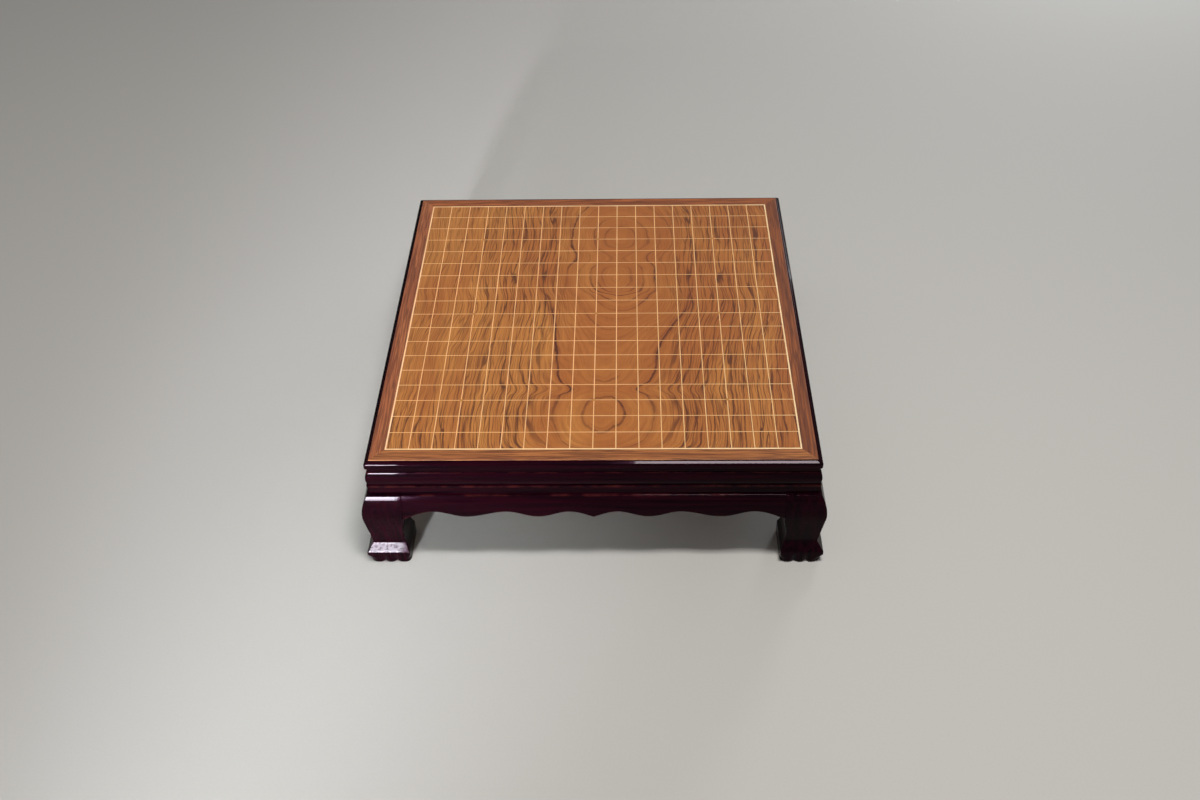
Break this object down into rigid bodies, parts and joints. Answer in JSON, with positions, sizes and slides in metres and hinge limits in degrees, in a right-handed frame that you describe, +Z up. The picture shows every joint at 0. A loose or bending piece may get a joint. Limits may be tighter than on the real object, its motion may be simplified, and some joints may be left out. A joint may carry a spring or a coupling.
{
  "type": "weiqi board",
  "caption": "Low weiqi board table: inlaid grid on figured veneer in a moulded dark frame, with a waist, scalloped aprons and cabriole legs with toed feet.",
  "frame": {"origin": "on the floor under the middle of the board", "axes": "+Z up, +X to the right and +Y to the back as the board is seen in the picture"},
  "size_m": [0.517, 0.535, 0.15],
  "materials": {
    "figured_veneer": "satin lacquer over flat-sawn figured veneer",
    "border_veneer": "satin lacquer over straight-grained veneer",
    "cream_inlay": "pale stringing under satin lacquer",
    "amber_dot": "amber wood dots under satin lacquer",
    "dark_lacquer": "dark red-brown gloss lacquer",
    "plywood": "bare plywood",
    "backing_veneer": "plain veneer, sealed",
    "plain_hardwood": "bare planed hardwood",
    "plated_steel": "zinc-plated wood screws"
  },
  "bodies": {
    "root": {"field_veneer": "figured_veneer", "inlay_lengthwise": "cream_inlay", "inlay_crosswise": "cream_inlay", "star_points": "amber_dot", "panel_core": "plywood", "backing_veneer": "backing_veneer", "batten_front": "plain_hardwood", "batten_back": "plain_hardwood", "mitre_splines": "plain_hardwood", "glue_blocks": "plain_hardwood", "block_screws": "plated_steel", "frame_line_back": "cream_inlay", "border_back": "border_veneer", "edge_moulding_back": "dark_lacquer", "waist_back": "dark_lacquer", "apron_back": "dark_lacquer", "frame_line_left": "cream_inlay", "border_left": "border_veneer", "edge_moulding_left": "dark_lacquer", "waist_left": "dark_lacquer", "apron_left": "dark_lacquer", "frame_line_front": "cream_inlay", "border_front": "border_veneer", "edge_moulding_front": "dark_lacquer", "waist_front": "dark_lacquer", "apron_front": "dark_lacquer", "frame_line_right": "cream_inlay", "border_right": "border_veneer", "edge_moulding_right": "dark_lacquer", "waist_right": "dark_lacquer", "apron_right": "dark_lacquer", "leg_front_left": "dark_lacquer", "leg_front_right": "dark_lacquer", "leg_back_left": "dark_lacquer", "leg_back_right": "dark_lacquer"}
  },
  "joints": []
}
